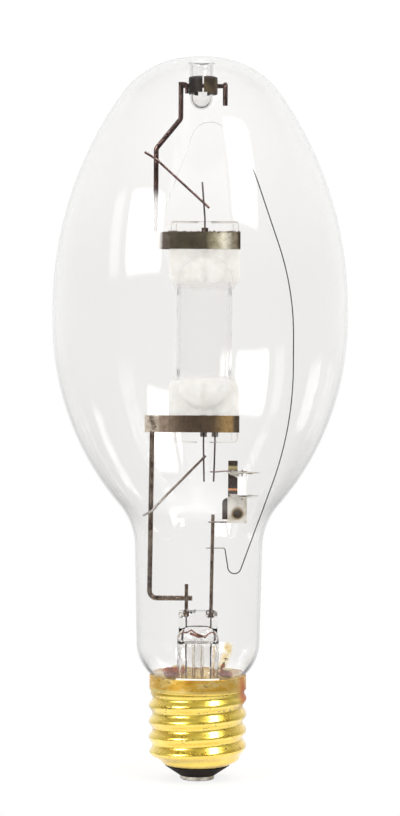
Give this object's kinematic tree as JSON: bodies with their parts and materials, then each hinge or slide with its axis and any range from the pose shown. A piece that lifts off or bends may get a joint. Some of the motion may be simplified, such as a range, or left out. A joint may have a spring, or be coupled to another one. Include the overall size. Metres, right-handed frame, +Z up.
{
  "type": "metal halide lamp",
  "caption": "Clear bulged lamp with a quartz arc tube on a wire frame, a thermal starting switch and a threaded screw base.",
  "frame": {"origin": "middle of the bottom contact's face, the lowest point of the lamp", "axes": "+Z runs up the lamp's axis from the contact to the crown; the arc tube's flat presses face -Y, and the switch is on the +X side"},
  "size_m": [0.1188, 0.1188, 0.2902],
  "materials": {
    "brass_shell": "polished",
    "black_glass": "glossy",
    "contact_metal": "satin",
    "cement": "matte",
    "clear_glass": "clear",
    "stem_glass": "clear",
    "nickel_wire": "satin",
    "dark_strip": "satin",
    "quartz": "clear",
    "white_coat": "matte",
    "foil": "satin",
    "tungsten": "satin",
    "mercury": "polished",
    "olive_strap": "satin",
    "bright_plate": "satin",
    "bimetal": "satin",
    "white_ceramic": "matte"
  },
  "bodies": {
    "lamp": {"base_shell": "brass_shell", "base_insulator": "black_glass", "center_contact": "contact_metal", "basing_cement": "cement", "outer_envelope": "clear_glass", "glass_stem": "stem_glass", "left_stem_rod": "nickel_wire", "right_stem_rod": "nickel_wire", "left_lead_in": "nickel_wire", "right_lead_in": "nickel_wire", "lower_frame_wire": "nickel_wire", "upper_frame_wire": "nickel_wire", "dimple_clip_left": "dark_strip", "dimple_clip_right": "dark_strip", "clip_hook": "nickel_wire", "arc_tube": "quartz", "upper_heat_coating": "white_coat", "lower_heat_coating": "white_coat", "upper_main_foil": "foil", "lower_main_foil": "foil", "probe_foil": "foil", "upper_electrode": "tungsten", "upper_electrode_coil": "tungsten", "lower_electrode": "tungsten", "lower_electrode_coil": "tungsten", "starting_probe": "tungsten", "mercury_bead": "mercury", "upper_lead": "nickel_wire", "main_lead": "nickel_wire", "probe_lead": "nickel_wire", "upper_strap": "olive_strap", "lower_strap": "olive_strap", "lower_jumper": "nickel_wire", "upper_jumper": "nickel_wire", "switch_plate": "bright_plate", "strip_foot": "bimetal", "switch_rivet": "dark_strip", "resistor_body": "white_ceramic", "resistor_lower_lead": "nickel_wire", "resistor_upper_lead": "nickel_wire", "upper_terminal": "bright_plate", "plate_link": "nickel_wire", "probe_link": "nickel_wire", "field_wire": "nickel_wire"},
    "bimetal": {"bimetal_arm": "bimetal"}
  },
  "joints": [
    {"name": "bimetal_bend", "type": "hinge", "parent": "lamp", "child": "bimetal", "pos_m": [0.0136, -0.00122, 0.11357], "axis": [-1, 0, 0], "range_deg": [0, 10], "stiffness_Nm_per_rad": 0.001}
  ]
}
